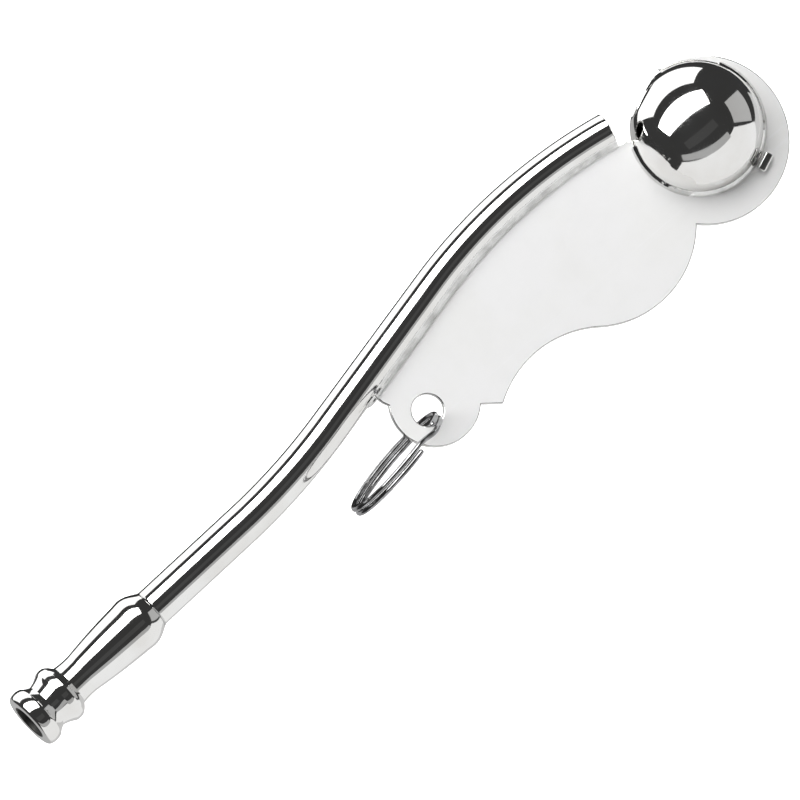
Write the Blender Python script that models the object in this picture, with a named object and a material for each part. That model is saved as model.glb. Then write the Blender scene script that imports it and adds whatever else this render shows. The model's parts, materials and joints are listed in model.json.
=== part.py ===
"""A boatswain's call: a curved gun blowing across a hollow ball, on a flat keel with a split ring.

The call is drawn in its keel plane: x runs from the mouthpiece to the buoy, y from the keel
to the gun, z is the keel's normal, and the buoy's centre is the origin. The whole call is
then laid on its side on a flat surface, resting on buoy, mouthpiece and ring.
"""

import math

import bmesh
import bpy
from mathutils import Matrix, Vector

MM = 0.001

# Buoy: two pressed cups that make a hollow ball, with a round sound hole.
BUOY_RADIUS = 8.75 * MM
BUOY_WALL = 0.5 * MM
SOUND_HOLE_RADIUS = 3.2 * MM
SOUND_HOLE_BEARING = math.radians(110.5)

# Gun: a bent tube, measured by station, the distance back from its outlet along its centreline.
OUTLET_STANDOFF = 3.0 * MM
OUTLET_BEARING = math.radians(141)
OUTLET_HEADING = math.radians(-11)
OUTLET_RADIUS = 2.35 * MM
STEM_RADIUS = 2.7 * MM
GUN_WALL = 0.5 * MM
NOSE_BEND_RADIUS = 76.7 * MM
NOSE_BEND_TURN = math.radians(23.85)
RISE_LENGTH = 23.0 * MM
TAIL_BEND_RADIUS = 92.7 * MM
TAIL_BEND_TURN = math.radians(10.85)
STEM_LENGTH = 16.55 * MM

# Mouthpiece: a turned piece, measured from its blowing face.
MOUTHPIECE_LENGTH = 21.7 * MM
BORE_RADIUS = 2.3 * MM
SOCKET_DEPTH = 9.0 * MM
LIP_RADIUS = 3.55 * MM
RIM_RADIUS = 4.15 * MM
RIM_BACK = 2.1 * MM
RIM_BACK_RADIUS = 3.85 * MM
NECK_RADIUS = 3.26 * MM
NECK_AT = 3.1 * MM
COVE_HOLLOW = 0.05 * MM
BEAD_RADIUS = 4.02 * MM
BEAD_FRONT = 4.9 * MM
BEAD_BACK = 6.0 * MM
BEAD_BULGE = 0.07 * MM
FLARE_HOLLOW = 0.12 * MM
NOTCH_RADIUS = 3.0 * MM
NOTCH_AT = 7.1 * MM
WAIST_RADIUS = STEM_RADIUS + 0.18 * MM
WAIST_AT = 9.4 * MM
BULB_RADIUS = STEM_RADIUS + 1.0 * MM
BULB_AT = 18.2 * MM
BULB_BULGE = 0.1 * MM
SHOULDER_BULGE = 0.22 * MM
BORE_CHAMFER = 0.25 * MM

# Keel: a flat plate under the gun, with a lug for the ring and a disc round the buoy.
KEEL_THICKNESS = 1.2 * MM
KEEL_DATUM_DEPTH = 9.1 * MM
KEEL_END_STATION = 48.1 * MM
KEEL_END_DEPTH = 3.8 * MM
LUG_STATION = 43.75 * MM
LUG_RADIUS = 6.1 * MM
LUG_FROM = math.radians(133)
LUG_TO = math.radians(302.5)
NOTCH_STATION = 38.6 * MM
NOTCH_DEPTH = 16.55 * MM
HOLLOW_RADIUS = 14.5 * MM
BELLY_STATION = 9.2 * MM
BELLY_RADIUS = 13.8 * MM
DISC_RADIUS = BUOY_RADIUS + 2.45 * MM
DISC_BACK = 0.3 * MM
DISC_DROP = 1.95 * MM
DISC_END_BEARING = math.radians(82)
CROTCH_BEARING = math.radians(151)

# Shackle: a split ring of two turns of wire through the hole in the lug.
SHACKLE_HOLE_STATION = 45.35 * MM
SHACKLE_HOLE_RADIUS = 2.15 * MM
RING_MEAN_RADIUS = 8.1 * MM
RING_WIRE_RADIUS = 0.37 * MM
RING_BEARING = math.radians(190)
RING_LEAN = math.radians(6)
RING_SEAT_BEARING = math.radians(250)
RING_CROSSOVER_AT = math.radians(60)
RING_CROSSOVER_SPAN = math.radians(30)

# Buoy stop: a small tab on the keel that locates the buoy.
STOP_BEARING = math.radians(-68)
STOP_LENGTH = 2.6 * MM
STOP_WIDTH = 1.2 * MM
STOP_HEIGHT = 1.0 * MM
STOP_ROUNDING = 0.25 * MM

# Solder fillets.
GUN_FILLET_ANGLE = math.radians(36)
GUN_FILLET_FOOT = 0.5 * MM
GUN_FILLET_HOLLOW = 0.05 * MM
BUOY_FILLET_FOOT = 0.55 * MM
BUOY_FILLET_RISE = 0.8 * MM
BUOY_FILLET_HOLLOW = 0.1 * MM
BUOY_FILLET_MARGIN = math.radians(6)
BUOY_FILLET_END = math.radians(30)
TOE_LENGTH = 1.6 * MM
TOE_DEPTH = 0.4 * MM
TOE_ANGLE = math.radians(28)
TOE_TRIM = 0.9
MOUTHPIECE_FILLET = 0.35 * MM

# Clearances between touching pieces.
SOLDER_GAP = 0.05 * MM
SEAM_GAP = 0.05 * MM
COIL_GAP = 0.04 * MM
TABLE_GAP = 0.02 * MM
SEAT_CLEARANCE = 0.12 * MM

# Facets.
ROUND_SIDES = 32
CUP_SIDES = 40
CUP_STEPS = 9
FILLET_STEPS = 3
WIRE_SIDES = 10
BEND_STEP = math.radians(2)
ARC_STEP = math.radians(5)
RING_STEP = math.radians(10)


def clear_scene():
    for item in list(bpy.data.objects):
        bpy.data.objects.remove(item)


def metal(name, colour, roughness):
    """A bare metal finish."""
    material = bpy.data.materials.new(name)
    material.use_nodes = True
    shader = material.node_tree.nodes["Principled BSDF"]
    shader.inputs["Base Color"].default_value = (*colour, 1)
    shader.inputs["Metallic"].default_value = 1
    shader.inputs["Roughness"].default_value = roughness
    return material


def polar(radius, bearing):
    return Vector((radius * math.cos(bearing), radius * math.sin(bearing)))


def circles_meet(centre, radius, other, other_radius, side):
    """The point where two circles cross; side is 1 on the left of centre to other, -1 on its right."""
    across = other - centre
    gap = across.length
    reach = (gap**2 + radius**2 - other_radius**2) / (2 * gap)
    rise = math.sqrt(radius**2 - reach**2)
    ahead = across / gap
    return centre + ahead * reach + Vector((-ahead.y, ahead.x)) * rise * side


def bearing_of(point, centre):
    return math.atan2(point.y - centre.y, point.x - centre.x)


def spread(start, end, count):
    """Evenly spaced values from start to end, both included."""
    return [start + (end - start) * i / count for i in range(count + 1)]


def arc(centre, radius, start, end, step=ARC_STEP):
    """Points on an arc from bearing start to bearing end, both included."""
    count = max(2, math.ceil(abs(end - start) / step))
    return [centre + polar(radius, bearing) for bearing in spread(start, end, count)]


def sag(start, end, hollow, count):
    """Points on a shallow curve from start to end that sags to its right by hollow."""
    across = end - start
    right = Vector((across.y, -across.x)).normalized()
    return [
        start + across * share + right * hollow * math.sin(math.pi * share)
        for share in spread(0, 1, count)
    ]


def gun_runs():
    """The gun's runs from the outlet back, as (length, turn); a turn that lifts the heading is positive."""
    return (
        (NOSE_BEND_RADIUS * NOSE_BEND_TURN, NOSE_BEND_TURN),
        (RISE_LENGTH, 0),
        (TAIL_BEND_RADIUS * TAIL_BEND_TURN, -TAIL_BEND_TURN),
        (STEM_LENGTH + MOUTHPIECE_LENGTH, 0),
    )


def gun_length():
    return sum(length for length, _ in gun_runs())


def gun_at(station):
    """The centreline's point and heading at a station."""
    point = polar(BUOY_RADIUS + OUTLET_STANDOFF, OUTLET_BEARING)
    heading = OUTLET_HEADING
    for length, turn in gun_runs():
        run = min(station, length)
        bend = turn / length
        if turn:
            ahead = heading + bend * run
            step = Vector((math.sin(ahead) - math.sin(heading), math.cos(heading) - math.cos(ahead)))
            point = point - step / bend
            heading = ahead
        else:
            point = point - polar(run, heading)
        station -= run
    return point, heading


def gun_radius(station):
    """The gun's outer radius: it tapers evenly from the stem to the outlet."""
    start = gun_length() - STEM_LENGTH - MOUTHPIECE_LENGTH
    share = min(station / start, 1)
    return OUTLET_RADIUS + (STEM_RADIUS - OUTLET_RADIUS) * share


def below(station, depth):
    """The point of the keel plane at a depth under the gun's centreline."""
    point, heading = gun_at(station)
    return point + Vector((math.sin(heading), -math.cos(heading))) * depth


def stations(start, end):
    """Stations from start to end, close together in the bends."""
    marks = [start]
    reached = 0
    for length, turn in gun_runs():
        count = max(1, math.ceil(abs(turn) / BEND_STEP))
        marks += [reached + length * i / count for i in range(count + 1)]
        reached += length
    inside = sorted(m for m in marks if start < m < end)
    spaced = [start]
    for mark in inside:
        if mark - spaced[-1] > SOLDER_GAP:
            spaced.append(mark)
    if end - spaced[-1] < SOLDER_GAP:
        spaced.pop()
    return [*spaced, end]


def gun_section(station, outline):
    """A section across the gun from (depth, height) pairs, at a station."""
    return [Vector((*below(station, depth), height)) for depth, height in outline]


def circle_outline(radius, sides=ROUND_SIDES):
    return [tuple(polar(radius, math.tau * i / sides)) for i in range(sides)]


def part_from(name, mesh, material, parent, smooth_under=30):
    mesh.materials.append(material)
    mesh.shade_smooth()
    mesh.set_sharp_from_angle(angle=math.radians(smooth_under))
    part = bpy.data.objects.new(name, mesh)
    bpy.context.scene.collection.objects.link(part)
    part.parent = parent
    return part


def close_end(shape, ring):
    """Closes a loop with a strip of faces between its two sides."""
    for i in range(len(ring) // 2):
        corners = (ring[i], ring[i + 1], ring[-i - 1], ring[-i])
        shape.faces.new(dict.fromkeys(corners))


def loft(name, loops, ends="caps"):
    """A closed mesh through loops of equal count: its ends are capped, joined in a ring or points."""
    shape = bmesh.new()
    rings = [[shape.verts.new(point) for point in loop] for loop in loops]
    pairs = list(zip(rings, rings[1:]))
    if ends == "ring":
        pairs.append((rings[-1], rings[0]))
    for near, far in pairs:
        for i in range(len(near)):
            j = (i + 1) % len(near)
            shape.faces.new((near[i], near[j], far[j], far[i]))
    if ends == "caps":
        close_end(shape, rings[0][:1] + rings[0][:0:-1])
        close_end(shape, rings[-1])
    if ends == "points":
        bmesh.ops.remove_doubles(shape, verts=shape.verts, dist=1e-7)
    if shape.calc_volume(signed=True) < 0:
        bmesh.ops.reverse_faces(shape, faces=shape.faces)
    mesh = bpy.data.meshes.new(name)
    shape.to_mesh(mesh)
    shape.free()
    return mesh


def make_gun(parent, material):
    """The bent tube, open at both ends; its tail sits in the mouthpiece's socket."""
    tail = gun_length() - MOUTHPIECE_LENGTH + SOCKET_DEPTH - SOLDER_GAP
    marks = stations(0, tail)
    outer = [gun_section(s, circle_outline(gun_radius(s))) for s in marks]
    inner = [gun_section(s, circle_outline(gun_radius(s) - GUN_WALL)) for s in reversed(marks)]
    return part_from("gun_tube", loft("gun_tube", outer + inner, "ring"), material, parent)


def swell(start, end, crest, count=8):
    """A rounded bead between two points, bulging to the crest radius halfway."""
    points = []
    for i in range(count + 1):
        angle = math.pi * i / count
        place = start[0] + (end[0] - start[0]) * (1 - math.cos(angle)) / 2
        base = start[1] + (end[1] - start[1]) * i / count
        points.append(Vector((place, base + (crest - base) * math.sin(angle))))
    return points


def taper(start, end, bulge, count=6):
    """A change of radius between two points, bulging outwards or, with a negative bulge, inwards."""
    points = []
    for i in range(count + 1):
        share = i / count
        place = start[0] + (end[0] - start[0]) * share
        radius = start[1] + (end[1] - start[1]) * share + bulge * math.sin(math.pi * share)
        points.append(Vector((place, radius)))
    return points


def mouthpiece_profile():
    """(distance from the blowing face, radius) pairs round the turned section, outside then bore."""
    shoulder = STEM_RADIUS + SOLDER_GAP + MOUTHPIECE_FILLET / 2
    socket = STEM_RADIUS + SOLDER_GAP
    floor = MOUTHPIECE_LENGTH - SOCKET_DEPTH
    rim = swell((0, LIP_RADIUS), (RIM_BACK, RIM_BACK_RADIUS), RIM_RADIUS)
    corners = (
        (RIM_BACK, RIM_BACK_RADIUS, 0),
        (NECK_AT, NECK_RADIUS, -COVE_HOLLOW),
        (BEAD_FRONT, BEAD_RADIUS, -FLARE_HOLLOW),
        (BEAD_BACK, BEAD_RADIUS, BEAD_BULGE),
        (NOTCH_AT, NOTCH_RADIUS, FLARE_HOLLOW),
        (WAIST_AT, WAIST_RADIUS, -COVE_HOLLOW),
        (BULB_AT, BULB_RADIUS, BULB_BULGE),
        (MOUTHPIECE_LENGTH, shoulder, SHOULDER_BULGE),
    )
    outside = list(rim)
    for near, far in zip(corners, corners[1:]):
        outside += taper(near[:2], far[:2], far[2])[1:]
    inside = [
        Vector((MOUTHPIECE_LENGTH, socket)),
        Vector((floor, socket)),
        Vector((floor, BORE_RADIUS)),
        Vector((BORE_CHAMFER, BORE_RADIUS)),
        Vector((0, BORE_RADIUS + BORE_CHAMFER)),
    ]
    return outside + inside


def make_mouthpiece(parent, material):
    loops = [
        gun_section(gun_length() - from_face, circle_outline(radius))
        for from_face, radius in mouthpiece_profile()
    ]
    return part_from("mouthpiece", loft("mouthpiece", loops, "ring"), material, parent)


def make_mouthpiece_solder(parent, material):
    """The ring of solder where the mouthpiece's shoulder meets the gun."""
    shoulder = gun_length() - MOUTHPIECE_LENGTH - SOLDER_GAP
    inner = STEM_RADIUS + SOLDER_GAP
    section = (
        (shoulder, inner),
        (shoulder - MOUTHPIECE_FILLET, inner),
        (shoulder - MOUTHPIECE_FILLET / 3, inner + MOUTHPIECE_FILLET / 4),
        (shoulder, inner + MOUTHPIECE_FILLET / 2),
    )
    loops = [gun_section(station, circle_outline(radius)) for station, radius in section]
    mesh = loft("mouthpiece_solder", loops, "ring")
    return part_from("mouthpiece_solder", mesh, material, parent)


def disc_centre():
    return Vector((-DISC_BACK, -DISC_DROP))


def keel_outline():
    """The keel's edge, anticlockwise from the gun's outlet, without the ring's hole."""
    cup = BUOY_RADIUS + SOLDER_GAP
    belly = below(BELLY_STATION, KEEL_DATUM_DEPTH)
    notch = below(NOTCH_STATION, NOTCH_DEPTH)
    lug = below(LUG_STATION, KEEL_DATUM_DEPTH)
    lug_heading = gun_at(LUG_STATION)[1]
    hollow = circles_meet(notch, HOLLOW_RADIUS, belly, BELLY_RADIUS + HOLLOW_RADIUS, -1)
    corner = circles_meet(belly, BELLY_RADIUS, disc_centre(), DISC_RADIUS, -1)
    meet = hollow + (belly - hollow).normalized() * HOLLOW_RADIUS
    origin = Vector((0, 0))
    cup_end = polar(cup, DISC_END_BEARING)
    disc_end = disc_centre() + polar(DISC_RADIUS, DISC_END_BEARING)
    top = [below(s, gun_radius(s) + SOLDER_GAP) for s in stations(0, KEEL_END_STATION)]
    lug_arc = arc(lug, LUG_RADIUS, lug_heading + LUG_FROM, lug_heading + LUG_TO)
    hollow_arc = arc(hollow, HOLLOW_RADIUS, bearing_of(notch, hollow), bearing_of(meet, hollow))
    belly_arc = arc(belly, BELLY_RADIUS, bearing_of(meet, belly), bearing_of(corner, belly))
    disc_from = bearing_of(corner, disc_centre())
    disc_arc = arc(disc_centre(), DISC_RADIUS, disc_from, bearing_of(disc_end, disc_centre()))
    cup_arc = arc(origin, cup, DISC_END_BEARING, CROTCH_BEARING - math.tau)
    end = [below(KEEL_END_STATION, KEEL_END_DEPTH)]
    return top + end + lug_arc + hollow_arc + belly_arc[1:] + disc_arc[1:] + [cup_end] + cup_arc[1:]


def shackle_hole():
    return below(SHACKLE_HOLE_STATION, KEEL_DATUM_DEPTH)


def make_keel(parent, material):
    """The flat plate, with the hole for the ring."""
    curve = bpy.data.curves.new("keel_plate", "CURVE")
    curve.dimensions = "2D"
    curve.fill_mode = "BOTH"
    curve.extrude = KEEL_THICKNESS / 2
    hole = arc(shackle_hole(), SHACKLE_HOLE_RADIUS, 0, math.tau, 2 * ARC_STEP)[1:]
    for outline in (keel_outline(), hole):
        spline = curve.splines.new("POLY")
        spline.points.add(len(outline) - 1)
        for point, place in zip(spline.points, outline):
            point.co = (*place, 0, 1)
        spline.use_cyclic_u = True
    curve.materials.append(material)
    keel = bpy.data.objects.new("keel_plate", curve)
    bpy.context.scene.collection.objects.link(keel)
    keel.parent = parent
    return keel


def gun_fillet_outline(radius, side):
    """Section of the solder between gun and keel: down the gun, out along the keel and back up."""
    seat = radius + SOLDER_GAP
    face = KEEL_THICKNESS / 2 + SOLDER_GAP
    root = math.asin(face / seat)
    on_gun = [polar(seat, angle) for angle in spread(GUN_FILLET_ANGLE, root, FILLET_STEPS)]
    foot = Vector((radius + GUN_FILLET_FOOT, face))
    surface = sag(foot, on_gun[0], -GUN_FILLET_HOLLOW, FILLET_STEPS)
    return [(p.x, side * p.y) for p in on_gun + surface[:-1]]


def make_gun_solder(name, side, parent, material):
    """The fillet of solder along one side of the joint between gun and keel."""
    ends = stations(SOLDER_GAP, KEEL_END_STATION - SOLDER_GAP)
    loops = [gun_section(s, gun_fillet_outline(gun_radius(s), side)) for s in ends]
    return part_from(name, loft(name, loops), material, parent)


def make_toe_solder(parent, material):
    """The blob of solder at the keel's end, tapering along the gun's underside."""
    start = KEEL_END_STATION + SOLDER_GAP
    loops = []
    for share in spread(0, TOE_TRIM, 4):
        station = start + TOE_LENGTH * share
        seat = gun_radius(station) + SOLDER_GAP
        fade = math.sqrt(1 - share**2)
        sweep = spread(TOE_ANGLE * fade, -TOE_ANGLE * fade, 4)
        heap = [
            polar(seat + TOE_DEPTH * fade * math.cos(math.pi / 2 * angle / sweep[0]), angle)
            for angle in reversed(sweep[1:-1])
        ]
        loops.append(gun_section(station, [polar(seat, angle) for angle in sweep] + heap))
    return part_from("keel_toe_solder", loft("keel_toe_solder", loops), material, parent)


def make_sound_hole_cutter(parent):
    """The straight punch through the buoy's wall."""
    across = Vector((*polar(1, SOUND_HOLE_BEARING + math.pi / 2), 0))
    loops = []
    for reach in (BUOY_RADIUS / 2, BUOY_RADIUS * 3 / 2):
        centre = Vector((*polar(reach, SOUND_HOLE_BEARING), 0))
        outline = circle_outline(SOUND_HOLE_RADIUS)
        loops.append([centre + across * y + Vector((0, 0, z)) for y, z in outline])
    cutter = bpy.data.objects.new("sound_hole_cutter", loft("sound_hole_cutter", loops))
    bpy.context.scene.collection.objects.link(cutter)
    cutter.parent = parent
    cutter.hide_render = True
    cutter.display_type = "WIRE"
    return cutter


def make_buoy_shell(name, side, cutter, parent, material):
    """One pressed cup of the buoy; the two cups meet in the keel plane."""
    edge = math.asin(SEAM_GAP / 2 / BUOY_RADIUS)
    outside = [(BUOY_RADIUS, angle) for angle in spread(math.pi / 2, edge, CUP_STEPS)]
    inside = [(BUOY_RADIUS - BUOY_WALL, angle) for angle in spread(edge, math.pi / 2, CUP_STEPS)]
    loops = []
    for radius, angle in outside + inside:
        reach = max(radius * math.cos(angle), 0)
        height = side * radius * math.sin(angle)
        loops.append([Vector((*p, height)) for p in circle_outline(reach, CUP_SIDES)])
    shell = part_from(name, loft(name, loops, "points"), material, parent)
    cut = shell.modifiers.new("sound_hole", "BOOLEAN")
    cut.object = cutter
    cut.operation = "DIFFERENCE"
    cut.solver = "EXACT"
    return shell


def make_buoy_solder(name, side, parent, material):
    """The fillet of solder round one side of the buoy's foot, clear of the gun at both ends."""
    face = KEEL_THICKNESS / 2 + SOLDER_GAP
    seat = BUOY_RADIUS + SOLDER_GAP
    low = math.asin(face / seat)
    high = math.asin((face + BUOY_FILLET_RISE) / seat)
    on_buoy = [polar(seat, angle) for angle in spread(high, low, FILLET_STEPS)]
    foot = Vector((BUOY_RADIUS + BUOY_FILLET_FOOT, face))
    surface = sag(foot, on_buoy[0], -BUOY_FILLET_HOLLOW, FILLET_STEPS)
    outline = on_buoy + surface[:-1]
    first = CROTCH_BEARING + BUOY_FILLET_MARGIN
    last = math.tau + BUOY_FILLET_END
    loops = [
        [Vector((*polar(p.x, bearing), side * p.y)) for p in outline]
        for bearing in spread(first, last, math.ceil((last - first) / ARC_STEP))
    ]
    return part_from(name, loft(name, loops), material, parent)


def make_buoy_stop(parent, material):
    """The locating tab that stands on the keel's front beside the buoy."""
    reach = BUOY_RADIUS + BUOY_FILLET_FOOT + SOLDER_GAP + STOP_WIDTH / 2
    shape = bmesh.new()
    bmesh.ops.create_cube(shape, size=1)
    bmesh.ops.scale(shape, vec=(STOP_WIDTH, STOP_LENGTH, STOP_HEIGHT), verts=shape.verts)
    mesh = bpy.data.meshes.new("buoy_stop")
    shape.to_mesh(mesh)
    shape.free()
    stop = part_from("buoy_stop", mesh, material, parent)
    height = KEEL_THICKNESS / 2 + SOLDER_GAP + STOP_HEIGHT / 2
    stop.location = (*polar(reach, STOP_BEARING), height)
    stop.rotation_euler = (0, 0, STOP_BEARING)
    bevel = stop.modifiers.new("rounding", "BEVEL")
    bevel.width = STOP_ROUNDING
    bevel.segments = 2
    return stop


def pitch():
    """The keel's slope when buoy and mouthpiece rim lie on the same flat surface."""
    station = gun_length() - RIM_BACK / 2
    rim = gun_at(station)[0]
    reach = math.hypot(rim.x, RIM_RADIUS)
    return math.asin(BUOY_RADIUS / reach) - math.atan2(RIM_RADIUS, -rim.x)


def ring_frame():
    """The ring's centre and its axes: towards its far side, upwards in its plane, and along its axis."""
    outward = Vector((*polar(1, RING_BEARING), 0))
    sideways = Vector((-outward.y, outward.x, 0))
    upward = Vector((0, 0, math.cos(RING_LEAN))) + sideways * math.sin(RING_LEAN)
    along = outward.cross(upward)
    hole = shackle_hole()
    half_coil = 2 * RING_WIRE_RADIUS + COIL_GAP / 2
    slack = SHACKLE_HOLE_RADIUS - half_coil - 2 * SEAT_CLEARANCE
    seat = Vector((*(hole + polar(slack, RING_SEAT_BEARING)), 0))
    down = Vector((-math.sin(pitch()), 0, -math.cos(pitch())))
    table = BUOY_RADIUS - TABLE_GAP
    reach = RING_MEAN_RADIUS * math.sqrt(1 - along.dot(down) ** 2) + RING_WIRE_RADIUS
    spread = (RING_WIRE_RADIUS + COIL_GAP / 2) * abs(along.dot(down))
    lift = 0
    for _ in range(6):
        tip = math.asin(lift / RING_MEAN_RADIUS / math.cos(RING_LEAN))
        centre = seat + RING_MEAN_RADIUS * (outward * math.cos(tip) + upward * math.sin(tip))
        lift += (centre.dot(down) + reach + spread - table) / math.cos(pitch())
    return centre, outward, upward, along


def make_ring(parent, material):
    """The split ring: two turns side by side, crossing over once, both wire ends at the crossover."""
    centre, outward, upward, along = ring_frame()
    half_pitch = RING_WIRE_RADIUS + COIL_GAP / 2
    half_span = RING_CROSSOVER_SPAN / 2
    count = round(2 * math.tau / RING_STEP)
    turn = 2 * math.tau - 2 * half_span
    loops = []
    for i in range(count + 1):
        swept = half_span + turn * i / count
        ramp = min(max((swept - math.tau) / RING_CROSSOVER_SPAN + 0.5, 0), 1)
        offset = half_pitch * (2 * ramp * ramp * (3 - 2 * ramp) - 1)
        angle = RING_CROSSOVER_AT + swept
        radial = -outward * math.cos(angle) + upward * math.sin(angle)
        point = centre + radial * RING_MEAN_RADIUS + along * offset
        loops.append(
            [
                point + radial * out + along * side - Vector((*shackle_hole(), 0))
                for out, side in circle_outline(RING_WIRE_RADIUS, WIRE_SIDES)
            ]
        )
    return part_from("split_ring", loft("split_ring", loops), material, parent, 60)


def make_empty(name, parent=None, location=(0, 0, 0), rotation=(0, 0, 0)):
    empty = bpy.data.objects.new(name, None)
    bpy.context.scene.collection.objects.link(empty)
    empty.parent = parent
    empty.location = location
    empty.rotation_euler = rotation
    return empty


def centre_on_footprint(call):
    """Moves the call so that the middle of its footprint is the world's origin."""
    bpy.context.view_layer.update()
    corners = [
        part.matrix_world @ Vector(corner)
        for part in bpy.data.objects
        if part.type != "EMPTY" and not part.hide_render
        for corner in part.bound_box
    ]
    for axis in (0, 1):
        places = [corner[axis] for corner in corners]
        call.location[axis] -= (min(places) + max(places)) / 2


def main():
    clear_scene()
    polished = metal("polished_nickel", (0.88, 0.88, 0.87), 0.06)
    satin = metal("satin_nickel", (0.86, 0.86, 0.86), 0.4)
    solder = metal("silver_solder", (0.82, 0.82, 0.81), 0.15)
    steel = metal("ring_steel", (0.75, 0.75, 0.76), 0.12)
    call = make_empty("call", location=(0, 0, BUOY_RADIUS), rotation=(0, -pitch(), 0))
    make_gun(call, polished)
    make_mouthpiece(call, polished)
    make_mouthpiece_solder(call, solder)
    make_keel(call, satin)
    make_gun_solder("gun_solder_front", 1, call, solder)
    make_gun_solder("gun_solder_back", -1, call, solder)
    make_toe_solder(call, solder)
    cutter = make_sound_hole_cutter(call)
    make_buoy_shell("buoy_shell_front", 1, cutter, call, polished)
    make_buoy_shell("buoy_shell_back", -1, cutter, call, polished)
    make_buoy_solder("buoy_solder_front", 1, call, solder)
    make_buoy_solder("buoy_solder_back", -1, call, solder)
    make_buoy_stop(call, satin)
    swing = make_empty("shackle_swing", call, (*shackle_hole(), 0))
    make_ring(swing, steel)
    centre_on_footprint(call)


main()
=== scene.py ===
"""The finished look of the boatswain's call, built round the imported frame.

The pieces are drawn in the keel plane: x runs from the mouthpiece to the buoy, y from the keel
to the gun, z is the keel's normal, and the buoy's centre is the origin.
"""

import json
import math

import bmesh
import bpy
from mathutils import Matrix, Vector


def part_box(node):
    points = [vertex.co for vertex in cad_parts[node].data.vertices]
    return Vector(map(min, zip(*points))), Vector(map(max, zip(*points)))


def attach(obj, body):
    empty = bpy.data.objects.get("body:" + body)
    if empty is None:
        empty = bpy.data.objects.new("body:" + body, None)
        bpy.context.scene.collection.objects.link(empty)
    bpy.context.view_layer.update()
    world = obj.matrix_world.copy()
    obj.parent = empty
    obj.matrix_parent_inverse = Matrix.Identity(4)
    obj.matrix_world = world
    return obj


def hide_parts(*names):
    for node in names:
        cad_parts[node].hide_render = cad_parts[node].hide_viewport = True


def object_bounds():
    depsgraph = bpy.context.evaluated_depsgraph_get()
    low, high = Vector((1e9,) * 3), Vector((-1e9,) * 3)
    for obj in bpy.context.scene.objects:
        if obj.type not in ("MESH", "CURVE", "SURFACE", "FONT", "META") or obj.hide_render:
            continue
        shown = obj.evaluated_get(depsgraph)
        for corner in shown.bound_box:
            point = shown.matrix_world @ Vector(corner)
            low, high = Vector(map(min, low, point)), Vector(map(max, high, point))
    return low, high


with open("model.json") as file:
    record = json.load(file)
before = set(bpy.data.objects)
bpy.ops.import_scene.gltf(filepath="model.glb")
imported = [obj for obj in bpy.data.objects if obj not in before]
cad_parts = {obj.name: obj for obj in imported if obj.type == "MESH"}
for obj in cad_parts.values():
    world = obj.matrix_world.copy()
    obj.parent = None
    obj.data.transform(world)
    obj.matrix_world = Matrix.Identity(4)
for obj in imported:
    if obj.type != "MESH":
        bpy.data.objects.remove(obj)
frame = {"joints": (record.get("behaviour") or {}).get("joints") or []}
cad_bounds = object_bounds()

MM = 0.001

# Buoy.
BUOY_RADIUS = 8.75 * MM
BUOY_WALL = 0.5 * MM
SOUND_HOLE_RADIUS = 3.2 * MM
SOUND_HOLE_BEARING = math.radians(110.5)
HOLE_EDGE = 0.14 * MM

# Gun, by station: the distance back from the outlet along the centreline.
OUTLET_STANDOFF = 3.0 * MM
OUTLET_BEARING = math.radians(141)
OUTLET_HEADING = math.radians(-11)
OUTLET_RADIUS = 2.35 * MM
STEM_RADIUS = 2.7 * MM
GUN_WALL = 0.5 * MM
GUN_LIP = 0.16 * MM
NOSE_BEND_RADIUS = 76.7 * MM
NOSE_BEND_TURN = math.radians(23.85)
RISE_LENGTH = 23.0 * MM
TAIL_BEND_RADIUS = 92.7 * MM
TAIL_BEND_TURN = math.radians(10.85)
STEM_LENGTH = 16.55 * MM

# Mouthpiece, measured from its blowing face.
MOUTHPIECE_LENGTH = 21.7 * MM
BORE_RADIUS = 2.3 * MM
SOCKET_DEPTH = 9.0 * MM
LIP_RADIUS = 3.55 * MM
RIM_RADIUS = 4.15 * MM
RIM_BACK = 2.1 * MM
RIM_BACK_RADIUS = 3.85 * MM
NECK_RADIUS = 3.26 * MM
NECK_AT = 3.1 * MM
COVE_HOLLOW = 0.05 * MM
BEAD_RADIUS = 4.02 * MM
BEAD_FRONT = 4.9 * MM
BEAD_BACK = 6.0 * MM
BEAD_BULGE = 0.07 * MM
FLARE_HOLLOW = 0.12 * MM
NOTCH_RADIUS = 3.0 * MM
NOTCH_AT = 7.1 * MM
WAIST_RADIUS = 2.88 * MM
WAIST_AT = 9.4 * MM
BULB_RADIUS = 3.7 * MM
BULB_AT = 18.2 * MM
BULB_BULGE = 0.1 * MM
SHOULDER_BULGE = 0.4 * MM
BORE_CHAMFER = 0.25 * MM

# Keel.
KEEL_THICKNESS = 1.2 * MM
KEEL_EDGE = 0.12 * MM
KEEL_DATUM_DEPTH = 9.1 * MM
KEEL_END_STATION = 48.1 * MM
KEEL_END_DEPTH = 3.8 * MM
LUG_STATION = 43.75 * MM
LUG_RADIUS = 6.1 * MM
LUG_FROM = math.radians(133)
LUG_TO = math.radians(302.5)
NOTCH_STATION = 38.6 * MM
NOTCH_DEPTH = 16.55 * MM
HOLLOW_RADIUS = 14.5 * MM
BELLY_STATION = 9.2 * MM
BELLY_RADIUS = 13.8 * MM
DISC_RADIUS = 11.2 * MM
DISC_BACK = 0.3 * MM
DISC_DROP = 1.95 * MM
DISC_END_BEARING = math.radians(82)
CROTCH_BEARING = math.radians(151)

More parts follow.
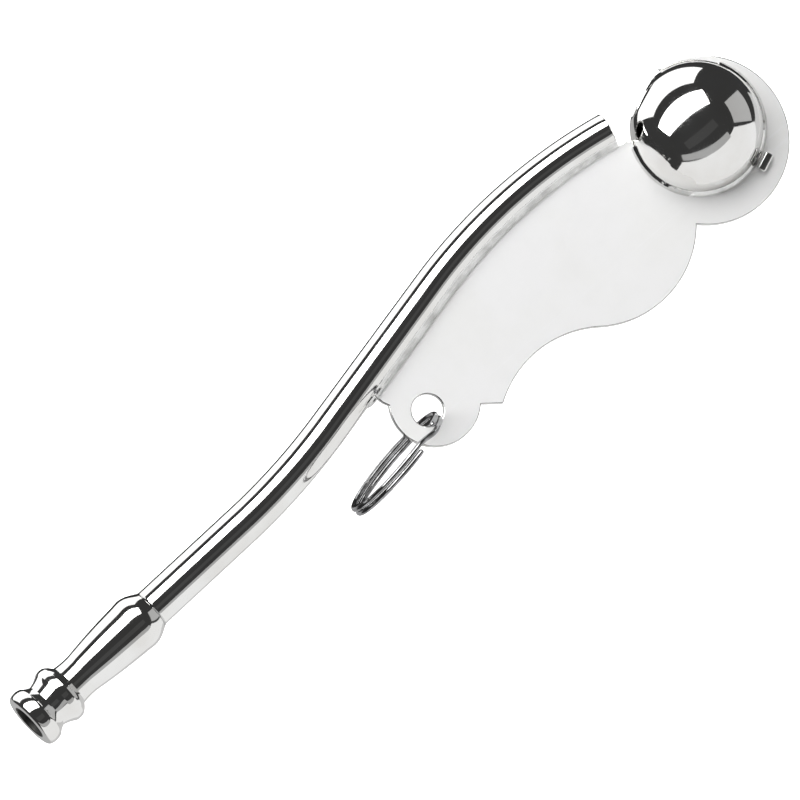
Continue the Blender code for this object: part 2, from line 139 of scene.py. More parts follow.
# Shackle.
SHACKLE_HOLE_STATION = 45.35 * MM
SHACKLE_HOLE_RADIUS = 2.15 * MM
RING_MEAN_RADIUS = 8.1 * MM
RING_WIRE_RADIUS = 0.37 * MM
RING_BEARING = math.radians(190)
RING_LEAN = math.radians(6)
RING_SEAT_BEARING = math.radians(250)
RING_CROSSOVER_AT = math.radians(60)
RING_CROSSOVER_SPAN = math.radians(30)

# Buoy stop.
STOP_BEARING = math.radians(-68)
STOP_LENGTH = 2.6 * MM
STOP_WIDTH = 1.2 * MM
STOP_HEIGHT = 1.0 * MM
STOP_ROUNDING = 0.3 * MM

# Solder.
GUN_FILLET_ANGLE = math.radians(41)
GUN_FILLET_FOOT = 0.36 * MM
GUN_FILLET_BULGE = 0.1 * MM
GUN_FILLET_WAVE = 0.05
GUN_FILLET_WAVES_PER_MM = 0.9
BUOY_FILLET_FOOT = 0.55 * MM
BUOY_FILLET_RISE = 0.8 * MM
BUOY_FILLET_BULGE = 0.05 * MM
BUOY_FILLET_WAVE = 0.04
BUOY_FILLET_WAVES = 14
BUOY_FILLET_MARGIN = math.radians(6)
BUOY_FILLET_END = math.radians(30)
TOE_LENGTH = 1.6 * MM
TOE_DEPTH = 0.4 * MM
TOE_ANGLE = math.radians(28)
TOE_END_SHARE = 0.97
MOUTHPIECE_FILLET = 0.35 * MM
MOUTHPIECE_FILLET_BULGE = MOUTHPIECE_FILLET / 12
RIPPLE_WAVES = ((1, 0), (1.73, 1.1), (2.9, 2.3))

# Clearances.
SOLDER_GAP = 0.05 * MM
SOLDER_SEAT = SOLDER_GAP / 5
SEAM_GAP = 0.03 * MM
COIL_GAP = 0.04 * MM
TABLE_GAP = 0.02 * MM
SEAT_CLEARANCE = 0.12 * MM

# Mesh fineness.
TUBE_SIDES = 128
CUP_SIDES = 96
CUP_STEPS = 72
WIRE_SIDES = 28
GUN_STEP = 0.8 * MM
FILLET_STEPS = 8
LIP_STEPS = 12
SWELL_STEPS = 28
TAPER_STEPS = 24
CHAMFER_STEPS = 8
TOE_STEPS = 14
TOE_SIDES = 12
HOLE_EDGE_STEPS = 10
KEEL_EDGE_STEPS = 3
STOP_STEPS = 6
WIRE_END_STEPS = 6
WIRE_END_START = 0.1
ARC_STEP = math.radians(1)
HOLE_STEP = 3 * ARC_STEP
RING_STEP = math.radians(2)
RING_LIFT_ROUNDS = 6

# The mouthpiece profile's last loops, from its socket's mouth to the blowing face.
BORE_LOOPS = CHAMFER_STEPS + 4

WELD_DISTANCE = 1e-7
CREASE = 40
MOUTHPIECE_CREASE = 24
KEEL_CREASE = 50
FLAT_ENOUGH = 0.999
INSIDE_WALL_SHARE = 0.75

# Camera.
LENS = 1200
FRAME_WIDTH = 104.5 * MM
CAMERA_TILT = math.radians(11)
CAMERA_ROLL = math.radians(40.8)
CLIP_START = 0.01
CLIP_END = 40
AIM = Vector((-53.7 * MM, -1.6 * MM, 0))

# Light: each card as (name, tilt from the view, bearing in the view, width, height, brightness).
CARDS = (
    ("key_card", 43, 129, 2.1, 0.68, 4.2),
    ("far_card", 110, 128, 1.6, 1.0, 1.3),
    ("side_card", 97, -55, 3.4, 1.9, 0.86),
    ("low_card", 46, -62, 1.9, 0.26, 0.4),
    ("end_card", 90, 26, 0.6, 0.8, 0.46),
    ("foot_card", 15, -50, 1.3, 0.3, 0.06),
    ("under_card", 156, -50, 2.2, 0.7, 0.6),
    ("face_card", 155, -139, 1.0, 0.7, 0.45),
)
CARD_DISTANCE = 1.0
SWEEP_RADIUS = 7.0
SWEEP_HEIGHT = 12.0
SWEEP_GLOW = 0.8
PAPER_WHITE = (0.9, 0.9, 0.9, 1)
PAPER_ROUGHNESS = 0.9
SURROUND = 0.038

# Ranges of the noise patterns that show, and how finely each is broken up.
CLOUD_RANGE = (0.35, 0.62)
CLOUD_DETAIL = 5
EDGE_RANGE = (0.52, 0.6)
MARK_RANGE = (0.42, 0.72)
MARK_DETAIL = 8
SPECKLE_RANGE = (0.3, 0.8)
SPECKLE_DETAIL = 3
LINE_RANGE = (0.6, 0.72)
LINE_DETAIL = 4
GRAIN_DETAIL = 6


def polar(radius, bearing):
    return Vector((radius * math.cos(bearing), radius * math.sin(bearing)))


def spread(start, end, count):
    """Evenly spaced values from start to end, both included."""
    return [start + (end - start) * i / count for i in range(count + 1)]


def arc(centre, radius, start, end, step=ARC_STEP):
    """Points on an arc from bearing start to bearing end, both included."""
    count = max(2, math.ceil(abs(end - start) / step))
    return [centre + polar(radius, bearing) for bearing in spread(start, end, count)]


def bearing_of(point, centre):
    return math.atan2(point.y - centre.y, point.x - centre.x)


def circles_meet(centre, radius, other, other_radius, side):
    """The point where two circles cross; side is 1 on the left of centre to other, -1 on its right."""
    across = other - centre
    gap = across.length
    reach = (gap**2 + radius**2 - other_radius**2) / (2 * gap)
    rise = math.sqrt(radius**2 - reach**2)
    ahead = across / gap
    return centre + ahead * reach + Vector((-ahead.y, ahead.x)) * rise * side


def sag(start, end, hollow, count):
    """Points on a shallow curve from start to end that sags to its right by hollow."""
    across = end - start
    right = Vector((across.y, -across.x)).normalized()
    return [
        start + across * share + right * hollow * math.sin(math.pi * share)
        for share in spread(0, 1, count)
    ]


def gun_runs():
    """The gun's runs from the outlet back, as (length, turn); a turn that lifts the heading is positive."""
    return (
        (NOSE_BEND_RADIUS * NOSE_BEND_TURN, NOSE_BEND_TURN),
        (RISE_LENGTH, 0),
        (TAIL_BEND_RADIUS * TAIL_BEND_TURN, -TAIL_BEND_TURN),
        (STEM_LENGTH + MOUTHPIECE_LENGTH, 0),
    )


def gun_length():
    return sum(length for length, _ in gun_runs())


def gun_at(station):
    """The centreline's point and heading at a station."""
    point = polar(BUOY_RADIUS + OUTLET_STANDOFF, OUTLET_BEARING)
    heading = OUTLET_HEADING
    for length, turn in gun_runs():
        run = min(station, length)
        bend = turn / length
        if turn:
            ahead = heading + bend * run
            step = Vector((math.sin(ahead) - math.sin(heading), math.cos(heading) - math.cos(ahead)))
            point = point - step / bend
            heading = ahead
        else:
            point = point - polar(run, heading)
        station -= run
    return point, heading


def gun_radius(station):
    """The gun's outer radius: it tapers evenly from the stem to the outlet."""
    start = gun_length() - STEM_LENGTH - MOUTHPIECE_LENGTH
    return OUTLET_RADIUS + (STEM_RADIUS - OUTLET_RADIUS) * min(station / start, 1)


def below(station, depth):
    """The point of the keel plane at a depth under the gun's centreline."""
    point, heading = gun_at(station)
    return point + Vector((math.sin(heading), -math.cos(heading))) * depth


def stations(start, end, step=GUN_STEP):
    return spread(start, end, math.ceil((end - start) / step))


def gun_section(station, outline):
    """A section across the gun from (depth, height) pairs, at a station."""
    return [Vector((*below(station, depth), height)) for depth, height in outline]


def circle_outline(radius, sides=TUBE_SIDES):
    return [tuple(polar(radius, math.tau * i / sides)) for i in range(sides)]


def keel_frame():
    """The matrix that takes the keel plane's coordinates to the world's."""
    low = [min(places) for places in zip(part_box("buoy_shell_front")[0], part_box("buoy_shell_back")[0])]
    high = [max(places) for places in zip(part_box("buoy_shell_front")[1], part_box("buoy_shell_back")[1])]
    normal = Vector(frame["joints"][0]["axis"]).normalized()
    across = Vector((0, 1, 0)).cross(normal).normalized()
    turn = Matrix((across, normal.cross(across), normal)).transposed().to_4x4()
    centre = Vector(((low[0] + high[0]) / 2, low[1] + BUOY_RADIUS, (low[2] + high[2]) / 2))
    return Matrix.Translation(centre) @ turn


KEEL = keel_frame()
KEEL_SLOPE = math.asin(-KEEL.col[2].x)


def close_end(shape, ring):
    """Closes a loop with a strip of faces between its two sides."""
    for i in range(len(ring) // 2):
        corners = (ring[i], ring[i + 1], ring[-i - 1], ring[-i])
        shape.faces.new(dict.fromkeys(corners))


def finish_mesh(name, shape, crease=CREASE):
    """Turns the keel-plane shape into a world-placed object with smooth and creased edges."""
    bmesh.ops.transform(shape, matrix=KEEL, verts=shape.verts)
    mesh = bpy.data.meshes.new(name)
    shape.to_mesh(mesh)
    shape.free()
    mesh.shade_smooth()
    mesh.set_sharp_from_angle(angle=math.radians(crease))
    piece = bpy.data.objects.new(name, mesh)
    bpy.context.scene.collection.objects.link(piece)
    return piece


def loft(name, loops, ends="caps", crease=CREASE, inside=()):
    """A closed piece through loops of equal count: its ends are capped, joined in a ring or points.

    Faces that start at the loops listed as inside take the piece's second finish.
    """
    shape = bmesh.new()
    rings = [[shape.verts.new(point) for point in loop] for loop in loops]
    pairs = list(zip(rings, rings[1:]))
    if ends == "ring":
        pairs.append((rings[-1], rings[0]))
    for index, (near, far) in enumerate(pairs):
        for i in range(len(near)):
            j = (i + 1) % len(near)
            face = shape.faces.new((near[i], near[j], far[j], far[i]))
            face.material_index = int(index in inside)
    if ends != "ring":
        close_end(shape, rings[0][:1] + rings[0][:0:-1])
        close_end(shape, rings[-1])
    if ends == "points":
        bmesh.ops.remove_doubles(shape, verts=shape.verts, dist=WELD_DISTANCE)
    if shape.calc_volume(signed=True) < 0:
        bmesh.ops.reverse_faces(shape, faces=shape.faces)
    return finish_mesh(name, shape, crease)


def make_gun():
    """The bent tube with rounded lips."""
    tail = gun_length() - MOUTHPIECE_LENGTH + SOCKET_DEPTH - SOLDER_GAP
    marks = stations(GUN_LIP, tail)
    loops = [gun_section(s, circle_outline(gun_radius(s))) for s in marks]
    loops += [gun_section(s, circle_outline(gun_radius(s) - GUN_WALL)) for s in reversed(marks)]
    middle = OUTLET_RADIUS - GUN_WALL / 2
    for angle in spread(-math.pi / 2, math.pi / 2, LIP_STEPS)[1:-1]:
        radius = middle + GUN_WALL / 2 * math.sin(angle)
        loops.append(gun_section(GUN_LIP * (1 - math.cos(angle)), circle_outline(radius)))
    # The inner wall takes the second, near-black finish: painted shade inside the tube.
    return loft("gun_tube_visual", loops, "ring", inside=range(len(marks), 2 * len(marks) - 1))


def swell(start, end, crest):
    """A rounded bead between two points, bulging to the crest radius halfway."""
    points = []
    for angle in spread(0, math.pi, SWELL_STEPS):
        place = start[0] + (end[0] - start[0]) * (1 - math.cos(angle)) / 2
        base = start[1] + (end[1] - start[1]) * angle / math.pi
        points.append(Vector((place, base + (crest - base) * math.sin(angle))))
    return points


def taper(start, end, bulge):
    """A change of radius between two points, bulging outwards or, with a negative bulge, inwards."""
    points = []
    for share in spread(0, 1, TAPER_STEPS):
        place = start[0] + (end[0] - start[0]) * share
        radius = start[1] + (end[1] - start[1]) * share + bulge * math.sin(math.pi * share)
        points.append(Vector((place, radius)))
    return points


def mouthpiece_profile():
    """(distance from the blowing face, radius) pairs round the turned section, outside then bore."""
    shoulder = STEM_RADIUS + SOLDER_GAP + MOUTHPIECE_FILLET / 2
    socket = STEM_RADIUS + SOLDER_GAP
    floor = MOUTHPIECE_LENGTH - SOCKET_DEPTH
    corners = (
        (RIM_BACK, RIM_BACK_RADIUS, 0),
        (NECK_AT, NECK_RADIUS, -COVE_HOLLOW),
        (BEAD_FRONT, BEAD_RADIUS, -FLARE_HOLLOW),
        (BEAD_BACK, BEAD_RADIUS, BEAD_BULGE),
        (NOTCH_AT, NOTCH_RADIUS, FLARE_HOLLOW),
        (WAIST_AT, WAIST_RADIUS, -COVE_HOLLOW),
        (BULB_AT, BULB_RADIUS, BULB_BULGE),
        (MOUTHPIECE_LENGTH, shoulder, SHOULDER_BULGE),
    )
    profile = swell((0, LIP_RADIUS), (RIM_BACK, RIM_BACK_RADIUS), RIM_RADIUS)
    for near, far in zip(corners, corners[1:]):
        profile += taper(near[:2], far[:2], far[2])[1:]
    profile += [Vector((MOUTHPIECE_LENGTH, socket)), Vector((floor, socket)), Vector((floor, BORE_RADIUS))]
    corner = Vector((BORE_CHAMFER, BORE_RADIUS + BORE_CHAMFER))
    chamfer = spread(math.pi * 3 / 2, math.pi, CHAMFER_STEPS)
    return profile + [corner + polar(BORE_CHAMFER, angle) for angle in chamfer]


def make_mouthpiece():
    loops = [
        gun_section(gun_length() - from_face, circle_outline(radius))
        for from_face, radius in mouthpiece_profile()
    ]
    # The bore's faces take the second, near-black finish: painted shade inside the mouthpiece.
    bore = range(len(loops) - BORE_LOOPS, len(loops) - 1)
    return loft("mouthpiece_visual", loops, "ring", MOUTHPIECE_CREASE, bore)


def make_mouthpiece_solder():
    shoulder = gun_length() - MOUTHPIECE_LENGTH - SOLDER_GAP
    inner = STEM_RADIUS + SOLDER_GAP
    top = Vector((shoulder, inner + MOUTHPIECE_FILLET / 2))
    foot = Vector((shoulder - MOUTHPIECE_FILLET, inner))
    section = [Vector((shoulder, inner)), *sag(foot, top, MOUTHPIECE_FILLET_BULGE, FILLET_STEPS)]
    loops = [gun_section(station, circle_outline(radius)) for station, radius in section]
    return loft("mouthpiece_solder_visual", loops, "ring")


def disc_centre():
    return Vector((-DISC_BACK, -DISC_DROP))


def keel_outline():
    """The keel's edge, anticlockwise from the gun's outlet, without the ring's hole."""
    cup = BUOY_RADIUS + SOLDER_GAP
    belly = below(BELLY_STATION, KEEL_DATUM_DEPTH)
    notch = below(NOTCH_STATION, NOTCH_DEPTH)
    lug = below(LUG_STATION, KEEL_DATUM_DEPTH)
    lug_heading = gun_at(LUG_STATION)[1]
    hollow = circles_meet(notch, HOLLOW_RADIUS, belly, BELLY_RADIUS + HOLLOW_RADIUS, -1)
    corner = circles_meet(belly, BELLY_RADIUS, disc_centre(), DISC_RADIUS, -1)
    meet = hollow + (belly - hollow).normalized() * HOLLOW_RADIUS
    cup_end = polar(cup, DISC_END_BEARING)
    disc_end = disc_centre() + polar(DISC_RADIUS, DISC_END_BEARING)
    top = [below(s, gun_radius(s) + SOLDER_GAP) for s in stations(0, KEEL_END_STATION)]
    lug_arc = arc(lug, LUG_RADIUS, lug_heading + LUG_FROM, lug_heading + LUG_TO)
    hollow_arc = arc(hollow, HOLLOW_RADIUS, bearing_of(notch, hollow), bearing_of(meet, hollow))
    belly_arc = arc(belly, BELLY_RADIUS, bearing_of(meet, belly), bearing_of(corner, belly))
    disc_from = bearing_of(corner, disc_centre())
    disc_arc = arc(disc_centre(), DISC_RADIUS, disc_from, bearing_of(disc_end, disc_centre()))
    cup_arc = arc(Vector((0, 0)), cup, DISC_END_BEARING, CROTCH_BEARING - math.tau)
    end = [below(KEEL_END_STATION, KEEL_END_DEPTH)]
    return top + end + lug_arc + hollow_arc + belly_arc[1:] + disc_arc[1:] + [cup_end] + cup_arc[1:]


def shackle_hole():
    return below(SHACKLE_HOLE_STATION, KEEL_DATUM_DEPTH)


def make_keel():
    """The flat plate with its hole and softened edges."""
    curve = bpy.data.curves.new("keel_outline", "CURVE")
    curve.dimensions = "2D"
    curve.fill_mode = "BOTH"
    curve.extrude = KEEL_THICKNESS / 2 - KEEL_EDGE
    curve.bevel_depth = KEEL_EDGE
    curve.bevel_resolution = KEEL_EDGE_STEPS
    curve.offset = -KEEL_EDGE
    hole = arc(shackle_hole(), SHACKLE_HOLE_RADIUS, 0, math.tau, HOLE_STEP)[1:]
    for outline in (keel_outline(), hole):
        spline = curve.splines.new("POLY")
        spline.points.add(len(outline) - 1)
        for point, place in zip(spline.points, outline):
            point.co = (*place, 0, 1)
        spline.use_cyclic_u = True
    drawn = bpy.data.objects.new("keel_outline", curve)
    bpy.context.scene.collection.objects.link(drawn)
    graph = bpy.context.evaluated_depsgraph_get()
    shape = bmesh.new()
    shape.from_mesh(drawn.evaluated_get(graph).to_mesh())
    bpy.data.objects.remove(drawn)
    bmesh.ops.remove_doubles(shape, verts=shape.verts, dist=WELD_DISTANCE)
    plate = finish_mesh("keel_plate_visual", shape, KEEL_CREASE)
    normal = KEEL.to_3x3().col[2]
    for face in plate.data.polygons:
        face.use_smooth = abs(face.normal.dot(normal)) < FLAT_ENOUGH
        face.material_index = int(face.use_smooth)
    return plate


def ripple(place, waves, depth):
    """A gentle, uneven wave about 1, from three sines that never line up."""
    total = sum(math.sin(place * waves * beat + lead) for beat, lead in RIPPLE_WAVES)
    return 1 + depth * total / len(RIPPLE_WAVES)


def gun_fillet_outline(station, side):
    """Section of the solder between gun and keel, a little wider and narrower along its length."""
    radius = gun_radius(station)
    seat = radius + SOLDER_SEAT
    face = KEEL_THICKNESS / 2 + SOLDER_SEAT
    root = math.asin(face / seat)
    wave = ripple(station / MM, GUN_FILLET_WAVES_PER_MM, GUN_FILLET_WAVE)
    on_gun = [polar(seat, angle) for angle in spread(GUN_FILLET_ANGLE * wave, root, FILLET_STEPS)]
    foot = Vector((radius + GUN_FILLET_FOOT * wave, face))
    surface = sag(foot, on_gun[0], GUN_FILLET_BULGE, FILLET_STEPS)
    return [(p.x, side * p.y) for p in on_gun + surface[:-1]]


def make_gun_solder(name, side):
    marks = stations(SOLDER_GAP, KEEL_END_STATION - SOLDER_GAP, GUN_STEP / 2)
    return loft(name, [gun_section(s, gun_fillet_outline(s, side)) for s in marks])


def make_toe_solder():
    """The blob of solder at the keel's end, tapering along the gun's underside."""
    start = KEEL_END_STATION + SOLDER_GAP
    loops = []
    for share in [math.sin(math.pi / 2 * part) for part in spread(0, TOE_END_SHARE, TOE_STEPS)]:
        station = start + TOE_LENGTH * share
        seat = gun_radius(station) + SOLDER_SEAT
        fade = math.sqrt(1 - share**2)
        sweep = spread(TOE_ANGLE * fade, -TOE_ANGLE * fade, TOE_SIDES)
        heap = [
            polar(seat + TOE_DEPTH * fade * math.cos(math.pi / 2 * angle / sweep[0]), angle)
            for angle in reversed(sweep[1:-1])
        ]
        loops.append(gun_section(station, [polar(seat, angle) for angle in sweep] + heap))
    return loft("keel_toe_solder_visual", loops)


def cup_outline():
    """The buoy's wall as (angle from the hole's axis, radius) pairs: outside, inside, then the edge."""
    edge = math.asin(SOUND_HOLE_RADIUS / BUOY_RADIUS)
    inner = BUOY_RADIUS - BUOY_WALL
    turn_in = HOLE_EDGE / BUOY_RADIUS
    wall = [(a, BUOY_RADIUS) for a in spread(edge + turn_in, math.pi, CUP_STEPS)]
    wall += [(a, inner) for a in spread(math.pi, edge + turn_in, CUP_STEPS)]
    middle = BUOY_RADIUS - BUOY_WALL / 2
    for lean in spread(-math.pi / 2, math.pi / 2, HOLE_EDGE_STEPS)[1:-1]:
        wall.append((edge + turn_in * (1 - math.cos(lean)), middle + BUOY_WALL / 2 * math.sin(lean)))
    return wall


def make_buoy_cup(name, side):
    """One cup of the buoy: half a turn of its wall about the sound hole's axis."""
    axis = Vector((*polar(1, SOUND_HOLE_BEARING), 0))
    across = Vector((*polar(1, SOUND_HOLE_BEARING + math.pi / 2), 0))
    up = Vector((0, 0, side))
    lift = up * SEAM_GAP / 2
    loops = []
    for turn in spread(0, math.pi, CUP_SIDES):
        outward = across * math.cos(turn) + up * math.sin(turn)
        loops.append(
            [
                lift + (axis * math.cos(a) + outward * max(math.sin(a), 0)) * radius
                for a, radius in cup_outline()
            ]
        )
    cup = loft(name, loops, "points")
    # Faces of the inner wall take the second, near-black finish: painted shade inside the buoy.
    for face in cup.data.polygons:
        depth = BUOY_RADIUS - (face.center - KEEL.translation).length
        face.material_index = int(depth > BUOY_WALL * INSIDE_WALL_SHARE)
    return cup


def make_buoy_solder(name, side):
    """The fillet of solder round one side of the buoy's foot."""
    face = KEEL_THICKNESS / 2 + SOLDER_SEAT
    seat = BUOY_RADIUS + SOLDER_SEAT
    low = math.asin(face / seat)
    high = math.asin((face + BUOY_FILLET_RISE) / seat)
    first = CROTCH_BEARING + BUOY_FILLET_MARGIN
    last = math.tau + BUOY_FILLET_END
    loops = []
    for bearing in spread(first, last, math.ceil((last - first) / ARC_STEP)):
        wave = ripple(bearing, BUOY_FILLET_WAVES, BUOY_FILLET_WAVE)
        on_buoy = [polar(seat, angle) for angle in spread(high * wave, low, FILLET_STEPS)]
        foot = Vector((BUOY_RADIUS + BUOY_FILLET_FOOT * wave, face))
        surface = sag(foot, on_buoy[0], BUOY_FILLET_BULGE, FILLET_STEPS)
        outline = on_buoy + surface[:-1]
        loops.append([Vector((*polar(p.x, bearing), side * p.y)) for p in outline])
    return loft(name, loops)


def make_buoy_stop():
    """The locating tab beside the buoy, its edges rounded by hand filing."""
    reach = BUOY_RADIUS + BUOY_FILLET_FOOT + SOLDER_GAP + STOP_WIDTH / 2
    shape = bmesh.new()
    bmesh.ops.create_cube(shape, size=1)
    bmesh.ops.scale(shape, vec=(STOP_WIDTH, STOP_LENGTH, STOP_HEIGHT), verts=shape.verts)
    bmesh.ops.bevel(
        shape,
        geom=shape.edges[:],
        offset=STOP_ROUNDING,
        segments=STOP_STEPS,
        profile=0.5,
        affect="EDGES",
    )
    height = KEEL_THICKNESS / 2 + STOP_HEIGHT / 2
    place = Matrix.Translation((*polar(reach, STOP_BEARING), height))
    bmesh.ops.transform(shape, matrix=place @ Matrix.Rotation(STOP_BEARING, 4, "Z"), verts=shape.verts)
    return finish_mesh("buoy_stop_visual", shape)


def ring_frame():
    """The ring's centre and its axes: towards its far side, upwards in its plane, and along its axis."""
    outward = Vector((*polar(1, RING_BEARING), 0))
    sideways = Vector((-outward.y, outward.x, 0))
    upward = Vector((0, 0, math.cos(RING_LEAN))) + sideways * math.sin(RING_LEAN)
    along = outward.cross(upward)
    half_coil = 2 * RING_WIRE_RADIUS + COIL_GAP / 2
    slack = SHACKLE_HOLE_RADIUS - half_coil - 2 * SEAT_CLEARANCE
    seat = Vector((*(shackle_hole() + polar(slack, RING_SEAT_BEARING)), 0))
    down = Vector((-math.sin(KEEL_SLOPE), 0, -math.cos(KEEL_SLOPE)))
    reach = RING_MEAN_RADIUS * math.sqrt(1 - along.dot(down) ** 2) + RING_WIRE_RADIUS
    width = (RING_WIRE_RADIUS + COIL_GAP / 2) * abs(along.dot(down))
    lift = 0
    for _ in range(RING_LIFT_ROUNDS):
        tip = math.asin(lift / RING_MEAN_RADIUS / math.cos(RING_LEAN))
        centre = seat + RING_MEAN_RADIUS * (outward * math.cos(tip) + upward * math.sin(tip))
        lift += (centre.dot(down) + reach + width - BUOY_RADIUS + TABLE_GAP) / math.cos(KEEL_SLOPE)
    return centre, outward, upward, along


def make_ring():
    """The split ring: two turns side by side, crossing over once, with rounded wire ends."""
    centre, outward, upward, along = ring_frame()
    half_pitch = RING_WIRE_RADIUS + COIL_GAP / 2
    half_span = RING_CROSSOVER_SPAN / 2
    turn = 2 * math.tau - 2 * half_span
    nose = RING_WIRE_RADIUS / RING_MEAN_RADIUS
    rounding = spread(WIRE_END_START, math.pi / 2, WIRE_END_STEPS)[:-1]
    start = [(nose * (1 - math.cos(a)), math.sin(a)) for a in rounding]
    body = [(place, 1) for place in spread(nose, turn - nose, round(turn / RING_STEP))]
    end = [(turn - place, share) for place, share in reversed(start)]
    loops = []
    for place, share in start + body + end:
        swept = half_span + place
        ramp = min(max((swept - math.tau) / RING_CROSSOVER_SPAN + 0.5, 0), 1)
        offset = half_pitch * (2 * ramp * ramp * (3 - 2 * ramp) - 1)
        angle = RING_CROSSOVER_AT + swept
        radial = -outward * math.cos(angle) + upward * math.sin(angle)
        point = centre + radial * RING_MEAN_RADIUS + along * offset
        wire = circle_outline(RING_WIRE_RADIUS * share, WIRE_SIDES)
        loops.append([point + radial * out + along * side for out, side in wire])
    return loft("split_ring_visual", loops)


def view_axes():
    """The camera's right, up and backward directions in the world."""
    turn = KEEL.to_3x3()
    back = turn @ Vector((-math.sin(CAMERA_TILT), 0, math.cos(CAMERA_TILT)))
    along = turn @ Vector((math.cos(CAMERA_TILT), 0, math.sin(CAMERA_TILT)))
    side = turn @ Vector((0, 1, 0))
    right = along * math.cos(CAMERA_ROLL) - side * math.sin(CAMERA_ROLL)
    up = along * math.sin(CAMERA_ROLL) + side * math.cos(CAMERA_ROLL)
    return right, up, back


def make_camera():
    right, up, back = view_axes()
    lens = bpy.data.cameras.new("camera")
    lens.lens = LENS
    lens.clip_start = CLIP_START
    lens.clip_end = CLIP_END
    camera = bpy.data.objects.new("camera", lens)
    bpy.context.scene.collection.objects.link(camera)
    turn = Matrix((right, up, back)).transposed().to_4x4()
    distance = FRAME_WIDTH * LENS / lens.sensor_width
    camera.matrix_world = Matrix.Translation(KEEL @ AIM + back * distance) @ turn
    bpy.context.scene.camera = camera


def place_on_stage(name, corners, faces, material):
    mesh = bpy.data.meshes.new(name)
    mesh.from_pydata(corners, [], faces)
    mesh.materials.append(material)
    item = bpy.data.objects.new(name, mesh)
    bpy.context.scene.collection.objects.link(item)
    return item


def make_card(name, tilt, bearing, width, height, brightness):
    """A glowing card facing the call, its width running round the view and its height along the tilt."""
    right, up, back = view_axes()
    lean = right * math.cos(bearing) + up * math.sin(bearing)
    across = up * math.cos(bearing) - right * math.sin(bearing)
    middle = KEEL @ AIM + (back * math.cos(tilt) + lean * math.sin(tilt)) * CARD_DISTANCE
    rise = lean * math.cos(tilt) - back * math.sin(tilt)
    corners = [
        middle + across * width * side / 2 + rise * height * end / 2
        for side, end in ((-1, -1), (1, -1), (1, 1), (-1, 1))
    ]
    material = bpy.data.materials.new(name)
    material.use_nodes = True
    glow = material.node_tree.nodes["Principled BSDF"]
    glow.inputs["Base Color"].default_value = (0, 0, 0, 1)
    glow.inputs["Specular IOR Level"].default_value = 0
    glow.inputs["Emission Color"].default_value = (1, 1, 1, 1)
    glow.inputs["Emission Strength"].default_value = brightness
    card = place_on_stage(name, corners, [(0, 1, 2, 3)], material)
    card.visible_camera = False
    card.visible_shadow = False


def make_sweep():
    """The plain pale floor and wall, one round sweep; the metal mirrors the cards and not the paper."""
    material = bpy.data.materials.new("sweep_paper")
    material.use_nodes = True
    shader = material.node_tree.nodes["Principled BSDF"]
    shader.inputs["Base Color"].default_value = PAPER_WHITE
    shader.inputs["Roughness"].default_value = PAPER_ROUGHNESS
    shader.inputs["Emission Color"].default_value = (1, 1, 1, 1)
    shader.inputs["Emission Strength"].default_value = SWEEP_GLOW
    floor = cad_bounds[0].z - TABLE_GAP
    foot = [(*polar(SWEEP_RADIUS, math.tau * i / TUBE_SIDES), floor) for i in range(TUBE_SIDES)]
    top = [(x, y, floor + SWEEP_HEIGHT) for x, y, _ in foot]
    turn = list(range(TUBE_SIDES))
    wall = [(i, j, j + TUBE_SIDES, i + TUBE_SIDES) for i, j in zip(turn, turn[1:] + turn[:1])]
    sweep = place_on_stage("sweep", foot + top, [tuple(turn), *wall], material)
    sweep.visible_glossy = False
    sweep.visible_shadow = False


def make_surround():
    world = bpy.data.worlds.new("surround")
    world.use_nodes = True
    world.node_tree.nodes["Background"].inputs["Color"].default_value = (1, 1, 1, 1)
    world.node_tree.nodes["Background"].inputs["Strength"].default_value = SURROUND
    bpy.context.scene.world = world
    bpy.context.scene.view_settings.view_transform = "Standard"


def add_node(tree, kind, **settings):
    node = tree.nodes.new(kind)
    for name, value in settings.items():
        setattr(node, name, value)
    return node


def noise(tree, coordinates, scale, detail, stretch=(1, 1, 1)):
    """A noise pattern over the object's own coordinates, stretched along its axes."""
    mapping = add_node(tree, "ShaderNodeMapping")
    mapping.inputs["Scale"].default_value = stretch
    tree.links.new(coordinates, mapping.inputs["Vector"])
    pattern = add_node(tree, "ShaderNodeTexNoise")
    pattern.inputs["Scale"].default_value = scale
    pattern.inputs["Detail"].default_value = detail
    tree.links.new(mapping.outputs["Vector"], pattern.inputs["Vector"])
    return pattern.outputs["Fac"]


def band(tree, value, low, high, out_low=0, out_high=1):
    """The value spread from one range to another, clamped at both ends."""
    node = add_node(tree, "ShaderNodeMapRange", clamp=True)
    for name, number in zip(("From Min", "From Max", "To Min", "To Max"), (low, high, out_low, out_high)):
        node.inputs[name].default_value = number
    tree.links.new(value, node.inputs["Value"])
    return node.outputs["Result"]


def sum_of(tree, first, second):
    node = add_node(tree, "ShaderNodeMath", operation="ADD")
    tree.links.new(first, node.inputs[0])
    tree.links.new(second, node.inputs[1])
    return node.outputs["Value"]


def blend_colours(tree, share, dark, light):
    node = add_node(tree, "ShaderNodeMix", data_type="RGBA")
    tree.links.new(share, node.inputs["Factor"])
    node.inputs["A"].default_value = (*dark, 1)
    node.inputs["B"].default_value = (*light, 1)
    return node.outputs["Result"]


